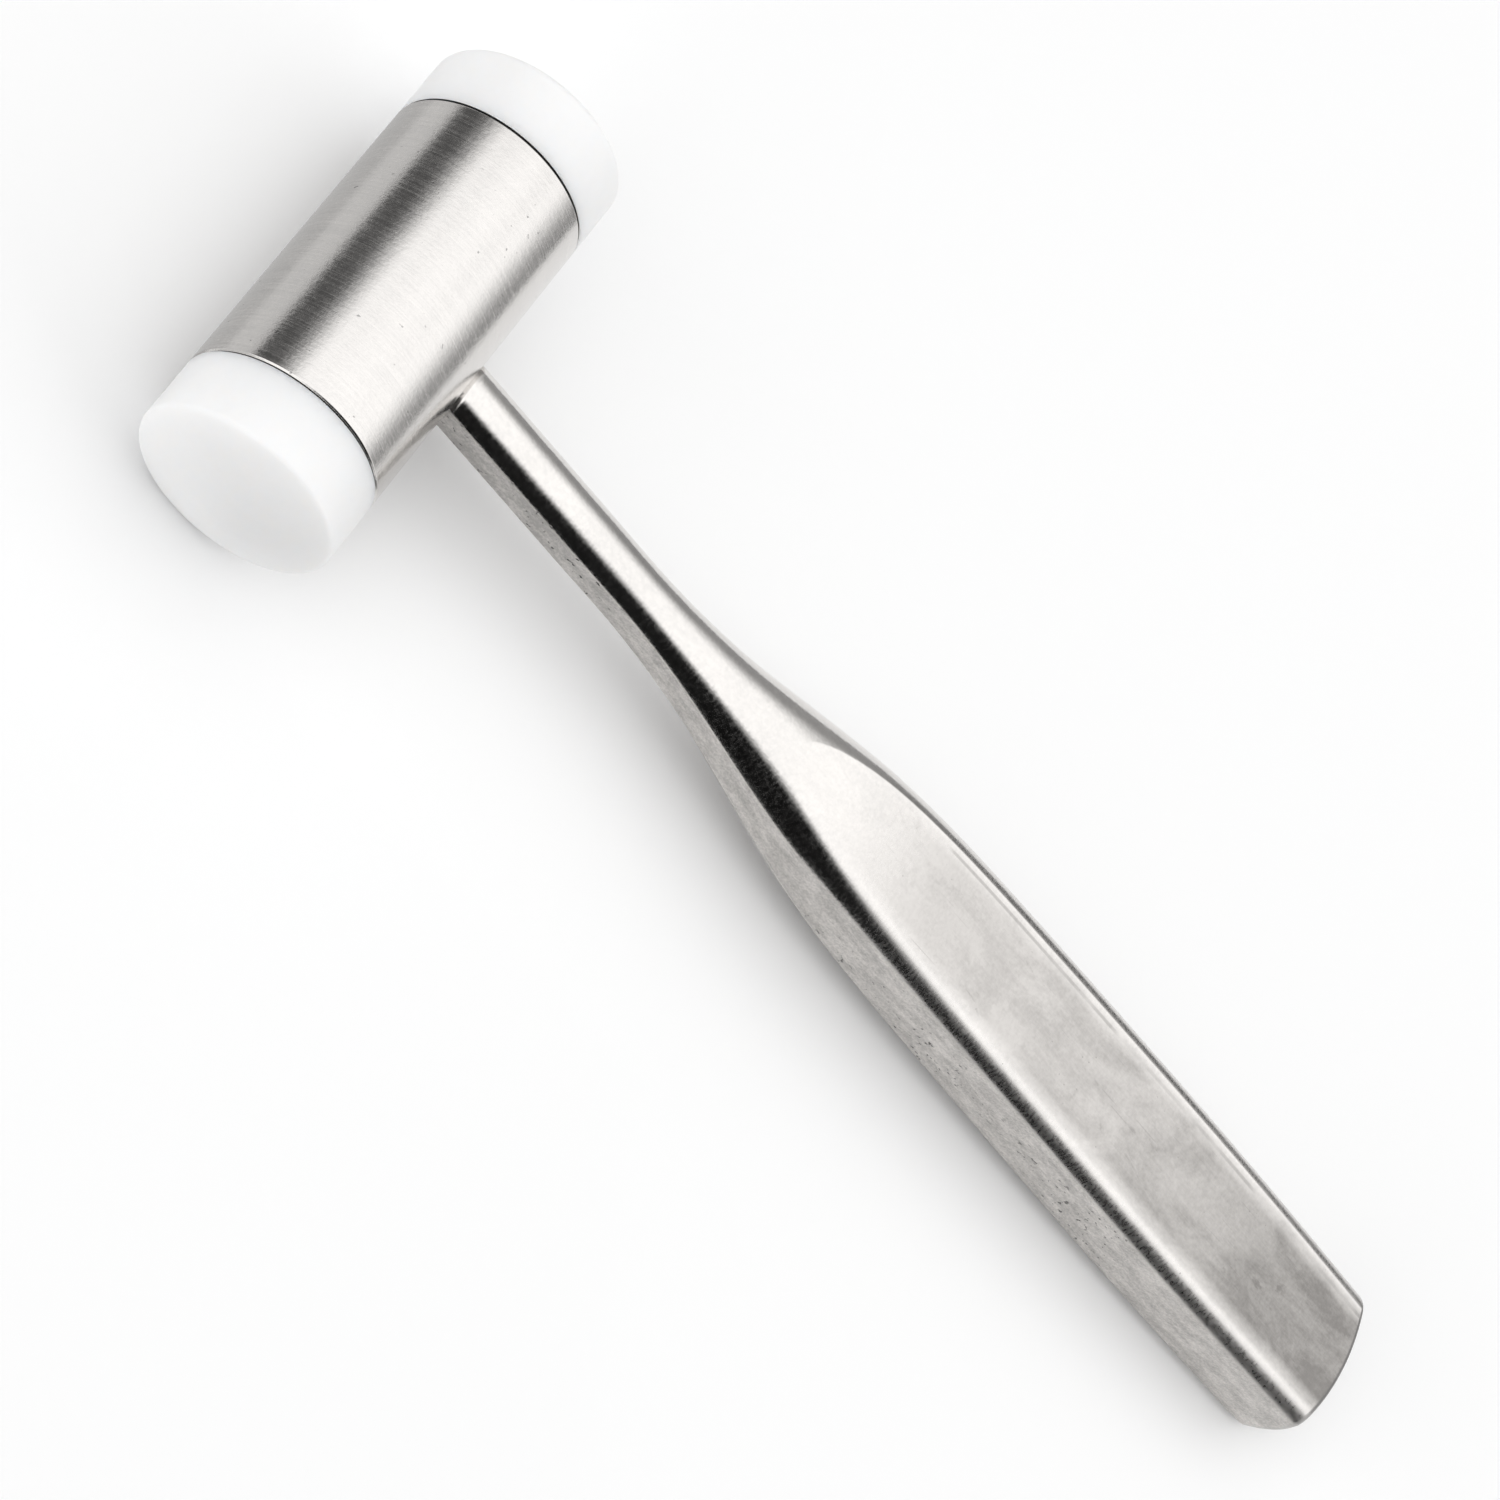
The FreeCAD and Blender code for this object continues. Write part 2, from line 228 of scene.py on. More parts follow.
def cap_profile(stud_steps=80):
    """(radius, y) of the cap at the +Y end, from the stud's tip to the crown of the dome, and a mask
    of the narrow seam between the cap and the drum, without its mouth."""
    crown = HALF_DRUM + CAP_SIDE + CAP_DOME
    dome_radius = (HEAD_RADIUS**2 + CAP_DOME**2) / (2 * CAP_DOME)
    dome_centre = crown - dome_radius
    round_x = HEAD_RADIUS - CAP_EDGE_RADIUS
    round_y = dome_centre + math.sqrt((dome_radius - CAP_EDGE_RADIUS) ** 2 - round_x**2)
    lean = math.degrees(math.atan2(round_y - dome_centre, round_x))
    tip = HALF_DRUM - STUD_LENGTH
    root = STUD_RADIUS - STUD_RELIEF_DEPTH
    relief = HALF_DRUM - STUD_RELIEF_WIDTH
    along = np.linspace(tip + STUD_TIP_CHAMFER, relief - STUD_RELIEF_DEPTH, stud_steps)
    stud = np.stack([np.full(stud_steps, STUD_RADIUS), along], axis=-1)
    seam_bottom = HEAD_RADIUS - SEAM_DEPTH
    seam_top = HALF_DRUM + SEAM_GAP
    mouth_break = EDGE_BREAK / 2
    shoulder = crisp([
        (root, relief),
        (root, HALF_DRUM),
        (seam_bottom, HALF_DRUM),
        (seam_bottom, seam_top),
        (HEAD_RADIUS - mouth_break, seam_top),
        (HEAD_RADIUS, seam_top + mouth_break),
        (HEAD_RADIUS, round_y - 0.1),
    ])
    profile = np.concatenate([
        [(1.0, tip), (STUD_RADIUS - STUD_TIP_CHAMFER, tip)],
        stud,
        shoulder,
        rounded((round_x, round_y), CAP_EDGE_RADIUS, 0, lean, 12),
        rounded((0, dome_centre), dome_radius, lean + 0.4, 89.6, 40),
    ])
    radius, y = profile.T
    slack = 0.01
    along_seam = (y > HALF_DRUM - slack) & (y < seam_top + slack)
    across_seam = (radius > seam_bottom - slack) & (radius < HEAD_RADIUS - SEAM_MOUTH)
    return profile, (along_seam & across_seam).astype(float)


def smooth_line(places, values, wanted):
    """Natural cubic through the rows of values: each stretch is a cubic whose slope and bend carry on
    into the next, and the bends at the places come from one set of linear equations."""
    gap = np.diff(places)
    count = len(places)
    system = np.eye(count)
    middle = np.arange(1, count - 1)
    system[middle, middle - 1] = gap[:-1]
    system[middle, middle] = 2 * (gap[:-1] + gap[1:])
    system[middle, middle + 1] = gap[1:]
    slope = np.diff(values, axis=0) / gap[:, None]
    right = np.zeros_like(values)
    right[1:-1] = 6 * np.diff(slope, axis=0)
    bend = np.linalg.solve(system, right)
    at = np.clip(np.searchsorted(places, wanted) - 1, 0, count - 2)
    wide = gap[at][:, None]
    b = ((wanted - places[at])[:, None]) / wide
    a = 1 - b
    cubic = ((a**3 - a) * bend[at] + (b**3 - b) * bend[at + 1]) * wide**2 / 6
    return a * values[at] + b * values[at + 1] + cubic


def on_butt(y, z, inset=0.0):
    """Place along X of the barrel-shaped butt, or of the same barrel drawn in all over by an inset.
    Seen from the side it is an arc of BUTT_CROWN, which is carried round an upright axis that lies
    BUTT_RADIUS behind the crest and BUTT_OFFSET off the middle."""
    out = BUTT_RADIUS - BUTT_CROWN + np.sqrt((BUTT_CROWN - inset) ** 2 - z**2)
    return HANDLE_END - BUTT_RADIUS + np.sqrt(out**2 - (y + BUTT_OFFSET) ** 2)


def smooth_step(value, low, high):
    """0 below low, 1 above high, and 3 t^2 - 2 t^3 between."""
    t = np.clip((value - low) / (high - low), 0, 1)
    return t * t * (3 - 2 * t)


# points round one quarter of a section
SIDE_STEPS = 7
CORNER_STEPS = 18
CROWN_STEPS = 6
FACE_STEPS = 8
# from a crease to the next point, on the neck and on the worn grip, and where along X the wear sets in
CREASE_STEP = 0.10
WORN_STEP = 0.52
WEAR_ENDS = (76, 96)
# half width of the ground face, as shares of where the crown starts: least where nothing is ground
FACE_LEAST = 0.15
FACE_MOST = 0.92
FACE_FIRST_STEP = 0.9
NORMAL_REACH = 1.8          # how far along a section the normals at the butt are evened out
ROOT_SINK = 0.04            # how far the neck's first row stands inside the drum's side


def sections(x):
    """Half-breadths y and heights z round one quarter of the sections at places x: from the middle of
    the ground side, up it, round the rolled corner, its centre + radius * (cos, sin), and in over
    the crown, an arc tangent to both corners. What stands above half the grip's thickness is ground
    off flat. The points beside the side's crease stand close by it, and further off on the worn
    grip."""
    shares = FORGED_SECTIONS
    place = np.maximum((x - NECK_END) / (HANDLE_END - NECK_END), shares[0, 0])
    width, thick, side, corner = smooth_line(shares[:, 0], shares[:, 1:], place).T
    grown = GRIP_THICKNESS + 2 * GRIND_ALLOWANCE
    half_width = (NECK_WIDTH + (GRIP_WIDTH - NECK_WIDTH) * width) / 2
    half_height = (NECK_DIAMETER + (grown - NECK_DIAMETER) * thick) / 2
    side_half = side * half_height
    radius = corner * half_height
    centre_z = half_height - radius
    low_angle = np.arcsin((side_half - centre_z) / radius)
    centre_y = half_width - radius * np.cos(low_angle)
    slope = math.radians(CROWN_SLOPE)
    crown_radius = radius + centre_y / math.sin(slope)
    crown_z = centre_z - centre_y / math.tan(slope)
    top = GRIP_THICKNESS / 2
    ground_angle = np.arcsin(np.minimum((top - centre_z) / radius, 1))
    high_angle = np.minimum(math.pi / 2 - slope, ground_angle)
    end_y = centre_y + radius * np.cos(high_angle)
    flat_y = np.sqrt(np.maximum(crown_radius**2 - (top - crown_z) ** 2, 0))

    soft = CREASE_STEP + (WORN_STEP - CREASE_STEP) * smooth_step(x, *WEAR_ENDS)
    up = np.linspace(0, 1, SIDE_STEPS) * side_half[:, None]
    up[:, -2] = side_half - soft
    up_y = np.broadcast_to(half_width[:, None], up.shape)
    first = soft / radius
    span = high_angle - low_angle - first
    angle = (low_angle + first)[:, None] + span[:, None] * np.linspace(0, 1, CORNER_STEPS)
    corner_y = centre_y[:, None] + radius[:, None] * np.cos(angle)
    corner_z = centre_z[:, None] + radius[:, None] * np.sin(angle)
    edge_y = np.clip(flat_y, FACE_LEAST * end_y, FACE_MOST * end_y)
    crown = np.linspace(0, 1, CROWN_STEPS + 1)[1:]
    crown_y = end_y[:, None] + (edge_y - end_y)[:, None] * crown
    face_y = FACE_FIRST_STEP * edge_y[:, None] * np.linspace(1, 0, FACE_STEPS)
    across = np.concatenate([crown_y, face_y], axis=1)
    crown_height = crown_z[:, None] + np.sqrt(crown_radius[:, None] ** 2 - across**2)
    y = np.concatenate([up_y, corner_y, across], axis=1)
    z = np.concatenate([up, corner_z, np.minimum(crown_height, top)], axis=1)
    return y, z


def whole_loop(quarter_y, quarter_z):
    """Quarter mirrored over both middle planes to a closed loop, once round from the +Y side."""
    y = np.concatenate([quarter_y, -quarter_y[:, -2::-1]], axis=1)
    z = np.concatenate([quarter_z, quarter_z[:, -2::-1]], axis=1)
    y = np.concatenate([y, y[:, -2:0:-1]], axis=1)
    z = np.concatenate([z, -z[:, -2:0:-1]], axis=1)
    return y, z


def outward(y, z):
    """Normals (y, z) of a closed loop that starts at the +Y side and goes up, each evened out with
    its neighbours by a bell curve of the way along the loop, NORMAL_REACH wide."""
    ahead = np.stack([np.roll(y, -1) - np.roll(y, 1), np.roll(z, -1) - np.roll(z, 1)], axis=-1)
    step = np.hypot(ahead[:, 0], ahead[:, 1]) / 2
    normal = ahead[:, ::-1] * (1, -1) / step[:, None]
    along = np.cumsum((step + np.roll(step, 1)) / 2)
    apart = np.abs(along[:, None] - along[None, :])
    apart = np.minimum(apart, step.sum() - apart)
    normal = (np.exp(-(apart / NORMAL_REACH) ** 2) * step[None, :]) @ normal
    return normal / np.linalg.norm(normal, axis=1, keepdims=True)


def neck_root(y, z, start):
    """Rows that carry a section straight back from its place along X to the drum's side, x =
    sqrt(head radius squared - z squared), less ROOT_SINK."""
    contact = np.sqrt(HEAD_RADIUS**2 - z**2) - ROOT_SINK
    x = contact + (start - contact) * np.array([0.0, 0.35, 0.7])[:, None]
    return np.stack([x, np.broadcast_to(y, x.shape), np.broadcast_to(z, x.shape)], axis=-1)


def grip_end(start, first_y, first_z):
    """Rows from a section of the grip to where a ball touches both the skin and the barrel. The
    ball's radius grows with the square of how far the skin faces sideways, and its place is found
    by going back and forth between the two. Gives the rows, and the ball's centres and radii and
    the skin's normals at the last of them."""
    rows = []
    for share in (0.25, 0.5, 0.75, 0.9, 1.0):
        y, z = first_y, first_z
        for _ in range(5):
            skin = outward(y, z)
            ball = BUTT_EDGE_RADIUS + BUTT_SIDE_EXTRA * skin[:, 0] ** 2
            centre_y = y - ball * skin[:, 0]
            centre_z = z - ball * skin[:, 1]
            touch = on_butt(centre_y, centre_z, ball)
            place = start + (touch - start) * share
            all_y, all_z = whole_loop(*sections(place))
            y, z = all_y.diagonal(), all_z.diagonal()
        rows.append(np.stack([place, y, z], axis=-1))
    return np.array(rows), np.stack([touch, centre_y, centre_z], axis=-1), ball[:, None], skin


def butt_edge(centre, ball, skin, turns):
    """Rows round the butt's edge: the ball's centre, plus its radius times a direction that swings
    from the skin's normal to the barrel's, which points away from the middle of its own arc."""
    from_skin = np.concatenate([np.zeros((len(skin), 1)), skin], axis=1)
    plan = centre[:, :2] - (HANDLE_END - BUTT_RADIUS, -BUTT_OFFSET)
    plan *= 1 - (BUTT_RADIUS - BUTT_CROWN) / np.linalg.norm(plan, axis=1, keepdims=True)
    from_barrel = np.concatenate([plan, centre[:, 2:]], axis=1) / (BUTT_CROWN - ball)
    swing = np.arccos((from_skin * from_barrel).sum(1, keepdims=True))
    rows = []
    for share in turns:
        lean = np.sin((1 - share) * swing) * from_skin + np.sin(share * swing) * from_barrel
        rows.append(centre + ball * lean / np.sin(swing))
    return np.array(rows)


def butt_wall(edge):
    """Rows on the barrel, each the edge's (y, z) drawn in to a share of its size."""
    rows = []
    for share in (0.98, 0.93, 0.85, 0.75, 0.62, 0.5, 0.38, 0.25, 0.14, 0.05):
        drawn_in = edge[:, 1:] * share
        rows.append(np.concatenate([on_butt(drawn_in[:, :1], drawn_in[:, 1:]), drawn_in], axis=1))
    return np.array(rows)


def handle_rows():
    """Rows of the handle. A row stands at one place along X, save that the first follow the drum's
    side and the last follow the butt. Gives the rows, and for each row how far it has gone round
    the butt's edge."""
    stations = np.concatenate([
        np.arange(15, 42, 1.0), np.arange(42, 64, 0.5), np.arange(64, 84, 0.25),
        np.arange(84, 164, 0.5),
    ])
    y, z = whole_loop(*sections(stations))
    x = np.broadcast_to(stations[:, None], y.shape)
    body = np.stack([x, y, z], axis=-1)
    root = neck_root(y[0], z[0], stations[0])
    near_end, centre, ball, skin = grip_end(stations[-1], y[-1], z[-1])
    turns = np.linspace(0, 1, 11)[1:]
    edge = butt_edge(centre, ball, skin, turns)
    wall = butt_wall(edge[-1])
    rows = np.concatenate([root, body, near_end, edge, wall])
    before_edge = len(root) + len(body) + len(near_end)
    gone_round = np.concatenate([np.zeros(before_edge), turns, np.ones(len(wall))])
    return rows, gone_round


# Shader maths
class Value:
    """A socket of a finish's nodes. Arithmetic on it adds Math nodes and gives the new socket."""

    def __init__(self, finish, socket):
        self.finish = finish
        self.socket = socket

    def _math(self, operation, *terms):
        sockets = dict(enumerate(terms))
        return self.finish.node("ShaderNodeMath", {"operation": operation}, sockets, "Value")

    def __add__(self, other):
        return self._math("ADD", self, other)

    def __radd__(self, other):
        return self._math("ADD", other, self)

    def __sub__(self, other):
        return self._math("SUBTRACT", self, other)

    def __rsub__(self, other):
        return self._math("SUBTRACT", other, self)

    def __mul__(self, other):
        return self._math("MULTIPLY", self, other)

    def __rmul__(self, other):
        return self._math("MULTIPLY", other, self)

    def between(self, low, high):
        """0 below low, 1 above high, and a smooth rise between."""
        settings = {"interpolation_type": "SMOOTHSTEP"}
        sockets = {"Value": self, "From Min": low, "From Max": high}
        return self.finish.node("ShaderNodeMapRange", settings, sockets, "Result")


class Finish:
    """One material while its nodes are added."""

    def __init__(self, name):
        self.material = bpy.data.materials.new(name)
        self.material.use_nodes = True
        self.tree = self.material.node_tree
        self.tree.nodes.clear()

    def node(self, kind, settings, sockets, output):
        """Adds one node: its settings first, then the value or link of each socket, by name, by
        identifier or by number. Gives back the named output."""
        made = self.tree.nodes.new(kind)
        for name, setting in settings.items():
            setattr(made, name, setting)
        for name, value in sockets.items():
            socket = self.found(made.inputs, name)
            if isinstance(value, Value):
                self.tree.links.new(value.socket, socket)
            else:
                socket.default_value = value
        if output is None:
            return made
        return Value(self, self.found(made.outputs, output))

    @staticmethod
    def found(sockets, name):
        """Socket with this number, identifier or name."""
        if isinstance(name, int):
            return sockets[name]
        for socket in sockets:
            if socket.identifier == name:
                return socket
        for socket in sockets:
            if socket.name == name and socket.enabled:
                return socket
        raise KeyError(name)

    def places(self):
        """Object coordinates, in metres."""
        return self.node("ShaderNodeTexCoord", {}, {}, "Object")

    def along(self, axis):
        """Object coordinate along the axis X, Y or Z, in metres."""
        return self.node("ShaderNodeSeparateXYZ", {}, {"Vector": self.places()}, axis)

    def grain(self, scale, detail=2.0, roughness=0.5, distortion=0.0):
        """Cloudy pattern from 0 to 1, stretched by the scale along X, Y and Z."""
        sockets = {"Vector": self.places(), "Scale": scale}
        stretched = self.node("ShaderNodeMapping", {}, sockets, "Vector")
        sockets = {"Vector": stretched, "Scale": 1.0, "Detail": detail,
                   "Roughness": roughness, "Distortion": distortion}
        return self.node("ShaderNodeTexNoise", {}, sockets, "Fac")

    def mask(self, name):
        """The piece's own attribute of that name."""
        return self.node("ShaderNodeAttribute", {"attribute_name": name}, {}, "Fac")

    def blended(self, factor, a, b):
        """Colour a where the factor is 0 and b where it is 1."""
        sockets = {"Factor_Float": factor, "A_Color": a, "B_Color": b}
        return self.node("ShaderNodeMix", {"data_type": "RGBA"}, sockets, "Result_Color")

    def relief(self, height, distance):
        """Normal of a surface raised by height times distance, in metres."""
        sockets = {"Height": height, "Distance": distance, "Strength": 1.0}
        return self.node("ShaderNodeBump", {}, sockets, "Normal")

    def surfaced(self, sockets):
        """Ends the material in a Principled surface with these sockets."""
        surface = self.node("ShaderNodeBsdfPrincipled", {}, sockets, "BSDF")
        self.node("ShaderNodeOutputMaterial", {}, {"Surface": surface}, None)
        return self.material


def grey(value, warm=0.0):
    """Colour of one brightness, a little towards red and away from blue as warm grows."""
    return (value * (1 + warm), value, value * (1 - warm), 1.0)


# height in metres of a finish's relief where its pattern is 1
STEEL_RELIEF = 0.000004
NYLON_RELIEF = 0.000006


def drum_steel():
    """Stainless steel brushed round the drum: fine hairlines along the circumference, a soft waviness
    left by the lathe, a fine speckle, and a few small faint pits."""
    f = Finish("drum_brushed_steel")
    hairlines = f.grain((80, 5600, 80), detail=4.0, roughness=0.7).between(0.30, 0.70)
    broad_lines = f.grain((30, 1500, 30), detail=2.0).between(0.3, 0.7)
    waviness = f.grain((90, 120, 90), detail=2.0)
    speckle = f.grain((1900, 2300, 1900), detail=3.0, roughness=0.65).between(0.3, 0.7)
    pits = f.grain((1100, 1300, 1100), detail=1.0).between(0.74, 0.80)
    height = hairlines * 0.40 + broad_lines * 0.15 + waviness * 5.0 + speckle * 1.3 - pits * 1.5
    tone = hairlines * 0.50 + broad_lines * 0.15 + speckle * 0.35
    colour = f.blended(tone, grey(0.62, 0.024), grey(0.76, 0.030))
    colour = f.blended(pits * 0.6, colour, grey(0.16))
    return f.surfaced({
        "Base Color": colour,
        "Metallic": 1.0,
        "Roughness": 0.14 + hairlines * 0.10 + speckle * 0.05,
        "Normal": f.relief(height, STEEL_RELIEF),
    })


def handle_steel():
    """Forged stainless steel: bright satin over the neck, the flare and the rolled corners, duller
    and cloudy on the ground faces of the grip, darker towards the butt, and matt and mottled on the
    ground sides, with small pits from the forging."""
    f = Finish("handle_satin_steel")
    side = f.mask("side_flat")
    face = f.mask("face_flat")
    x = f.along("X")
    gripped = x.between(-0.008, 0.014)
    butt_end = x.between(0.010, 0.095)
    neck = 1 - x.between(-0.060, -0.015)
    lines = f.grain((60, 3200, 3200), detail=3.0, roughness=0.7).between(0.3, 0.7)
    fringe = f.grain((3400, 1700, 1700), detail=1.5, roughness=0.5)
    clouds = f.grain((75, 120, 120), detail=5.0, roughness=0.6, distortion=0.8).between(0.34, 0.66)
    smudges = f.grain((150, 260, 260), detail=4.0, roughness=0.7, distortion=1.2).between(0.60, 0.80)
    fine = f.grain((1300, 1700, 1700), detail=3.0, roughness=0.65).between(0.3, 0.7)
    scratches = f.grain((70, 2600, 2600), detail=1.0).between(0.72, 0.78)
    specks = f.grain((1900, 1900, 1900), detail=1.0).between(0.76, 0.82)
    blasted = f.grain((3000, 3000, 3000), detail=3.0, roughness=0.7).between(0.3, 0.7)
    blotches = f.grain((260, 700, 700), detail=4.0, roughness=0.65).between(0.3, 0.7)
    patches = f.grain((55, 55, 55), detail=1.0).between(0.50, 0.70) + neck * 0.6
    pits = f.grain((1300, 1500, 1500), detail=2.0).between(0.63, 0.71) * patches
    broken = f.grain((90, 20, 20), detail=2.0).between(0.40, 0.55)
    far_side = f.along("Y").between(0.0, 0.001)
    # painted shade: a broken dark line along the crease at the far edge of the ground face, on the far
    # side only
    painted_far_crease_shade = (4 * face * (1 - face)).between(0.97, 1.0) * far_side * broken

    polished = f.blended(clouds * 0.5 + fine * 0.5, grey(0.64, 0.028), grey(0.72, 0.032))
    shade = 0.70 - butt_end * 0.84 + clouds * 0.42 + fine * 0.14 + lines * 0.10 - smudges * 0.50
    dull = f.blended(shade, grey(0.25, 0.045), grey(0.57, 0.036))
    satin = f.blended(face * gripped, polished, dull)
    # real scratches and specks, together with the painted crease shade, darken the satin colour
    # towards a dark grey
    scratches_specks_and_painted_crease = (scratches * 0.5 + specks + painted_far_crease_shade * 0.9) * gripped * 0.5
    satin = f.blended(scratches_specks_and_painted_crease, satin, grey(0.22, 0.04))
    # painted shade: the butt_edge mask darkens the colour to a dark outline round the butt's rounded
    # edge
    satin = f.blended(f.mask("butt_edge") * 0.75, satin, grey(0.16, 0.02))
    mottle = blasted * 0.50 + blotches * 0.50 - neck * 0.30
    matt = f.blended(mottle, grey(0.36, 0.034), grey(0.72, 0.038))
    matt = f.blended(pits * 0.85, matt, grey(0.05))

    satin_height = lines * 0.25 + fringe * (3.0 - gripped * 2.4) + fine * 0.25 - scratches * 0.5
    matt_height = blasted * 1.3 + blotches * 1.2 - pits * 8.0
    worn = gripped * 0.10 + butt_end * 0.07 + face * gripped * 0.14
    satin_rough = 0.09 + lines * 0.03 + fringe.between(0.30, 0.70) * 0.10 + worn
    matt_rough = 0.34 + blasted * 0.14
    height = satin_height * (1 - side) + matt_height * side * side
    return f.surfaced({
        "Base Color": f.blended(side, satin, matt),
        "Metallic": 1.0,
        "Roughness": satin_rough * (1 - side) + matt_rough * side,
        "Normal": f.relief(height, STEEL_RELIEF),
    })


def cap_nylon():
    """White nylon, turned and lightly scuffed: faint rings on the side and a matt, slightly mottled
    striking face, with painted shade down in the seam. Light goes a little way in, which softens its
    edges."""
    f = Finish("cap_white_nylon")
    rings = f.grain((30, 3500, 30), detail=2.0)
    mottle = f.grain((260, 260, 260), detail=4.0, roughness=0.6).between(0.3, 0.7)
    fine = f.grain((4200, 4200, 4200), detail=2.0)
    colour = f.blended(mottle, (0.94, 0.944, 0.948, 1), (0.965, 0.967, 0.97, 1))
    # painted shade: the seam between cap and drum is coloured near black
    colour = f.blended(f.mask("seam"), colour, grey(0.02))
    height = rings * 0.5 + mottle * 0.8 + fine * 0.6
    return f.surfaced({
        "Base Color": colour,
        "Roughness": 0.40 + mottle * 0.08,
        "IOR": 1.53,
        "Subsurface Weight": 1.0,
        "Subsurface Radius": (1.0, 0.95, 0.9),
        "Subsurface Scale": 0.003,
        "Normal": f.relief(height, NYLON_RELIEF),
    })


# The pieces
def drum():
    """Drum of the head."""
    rows = drum_rows()
    point = HALF_DRUM - HOLE_DEPTH - HOLE_RADIUS / math.tan(math.radians(HOLE_POINT_ANGLE / 2))
    return skinned("drum", rows, (0, -point, 0), (0, point, 0), drum_steel())


def cap(name, mirrored, finish):
    """Domed cap with its threaded stud; the near one is the far one mirrored along the axis."""
    profile, seam = cap_profile()
    rows = turned(profile)
    seam = np.broadcast_to(seam[:, None], rows.shape[:2])
    low = HALF_DRUM - STUD_LENGTH + STUD_TIP_CHAMFER
    high = HALF_DRUM - STUD_RELIEF_WIDTH - STUD_RELIEF_DEPTH
    rows = threaded(rows, low - THREAD_PITCH, high, -THREAD_DEPTH)
    tip = (0, HALF_DRUM - STUD_LENGTH, 0)
    crown = (0, HALF_DRUM + CAP_SIDE + CAP_DOME, 0)
    if mirrored:
        rows = rows[::-1] * (1, -1, 1)
        seam = seam[::-1]
        tip, crown = (0, -crown[1], 0), (0, -tip[1], 0)
    return skinned(name, rows, tip, crown, finish, seam=seam)


def handle():
    """Forged handle. Three masks go with it: its ground sides, which fade out over the first points
    of the corner, the ground faces of the grip, whose edges fade in over the crown, and the butt's
    edge, where both of them end."""
    rows, gone_round = handle_rows()
    side, side_fade, crown, face = np.cumsum([SIDE_STEPS, 2, CORNER_STEPS - 2, CROWN_STEPS])
    ground_side = np.zeros(face + FACE_STEPS)
    ground_side[:side] = 1.0
    ground_side[side:side_fade] = 0.5, 0.15
    ground_face = np.zeros(face + FACE_STEPS)
    ground_face[crown:face] = np.linspace(0.02, 0.4, CROWN_STEPS)
    ground_face[face] = 0.6
    ground_face[face + 1:] = 1.0
    masks = {}
    for name, quarter in {"side_flat": ground_side, "face_flat": ground_face}.items():
        half = np.concatenate([quarter, quarter[-2::-1]])
        around = np.concatenate([half, half[-2:0:-1]])
        masks[name] = around * (1 - gone_round[:, None])
    # this mask also places the painted shade round the butt's rounded edge
    on_edge = np.sin(math.pi * gone_round**0.7)
    masks["butt_edge"] = np.broadcast_to(on_edge[:, None], rows.shape[:2])
    butt = (on_butt(0.0, 0.0), 0, 0)
    start = (HEAD_RADIUS - 1.0, 0, 0)
    return skinned("forged_handle", rows, start, butt, handle_steel(), **masks)


nylon = cap_nylon()
shown = {
    "head_drum": (drum(), "tool", "drum_steel"),
    "handle": (handle(), "tool", "handle_steel"),
    "far_cap": (cap("far_nylon_cap", False, nylon), "far_striker", "far_cap_nylon"),
    "near_cap": (cap("near_nylon_cap", True, nylon), "near_striker", "near_cap_nylon"),
}
for node, (piece, body, slot) in shown.items():
    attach(piece, body)
    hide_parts(node)


# Floor, light and camera
def flat_card(name, outline, height, finish):
    """Flat card of the studio, with its outline in X and Y at one height."""
    mesh = bpy.data.meshes.new(name)
    corners = [(x, y, height) for x, y in outline]
    mesh.from_pydata(corners, [], [tuple(range(len(corners)))])
    mesh.materials.append(finish)
    card = bpy.data.objects.new(name, mesh)
    bpy.context.scene.collection.objects.link(card)
    return card


FLOOR_REACH = 4.0
FLOOR_PAINT_ENDS = (0.40, 0.90)     # the paint fades into plain white between these two radii


def floor_paint():
    """Matt pale floor, which far from the object goes over into the white of the room."""
    f = Finish("pale_floor")
    away = f.node("ShaderNodeVectorMath", {"operation": "LENGTH"}, {"Vector": f.places()}, "Value")
    paint = f.node("ShaderNodeBsdfPrincipled", {}, {
        "Base Color": grey(0.97), "Roughness": 0.9, "Specular IOR Level": 0.2,
    }, "BSDF")
    white = f.node("ShaderNodeEmission", {}, {"Strength": 1.0}, "Emission")
    sockets = {"Fac": away.between(*FLOOR_PAINT_ENDS), 1: paint, 2: white}
    mixed = f.node("ShaderNodeMixShader", {}, sockets, "Shader")
    f.node("ShaderNodeOutputMaterial", {}, {"Surface": mixed}, None)
    return f.material


TENT_RADIUS = 1.0
TENT_HEIGHT = 1.75
TENT_LIGHT = 1.4
ROOM_LIGHT = 1.0            # the world, seen through the open top of the tent, under the softbox
# cards hung on the tent's wall: direction, half width and softness in degrees, elevation where the
# card starts to fade and where it has gone, and how light it is
CARDS = (
    (-80, 24, 10, 42, 64, 0.005),
    (-55, 24, 10, 32, 56, 0.01),
    (150, 34, 10, 20, 46, 0.09),
    (80, 22, 10, 22, 54, 0.36),
    (32, 16, 10, 6, 36, 0.34),
    (110, 14, 10, 5, 60, 0.52),
    (56, 10, 5, 10, 32, 0.10),
    (-40, 10, 8, 42, 62, 0.01),
)


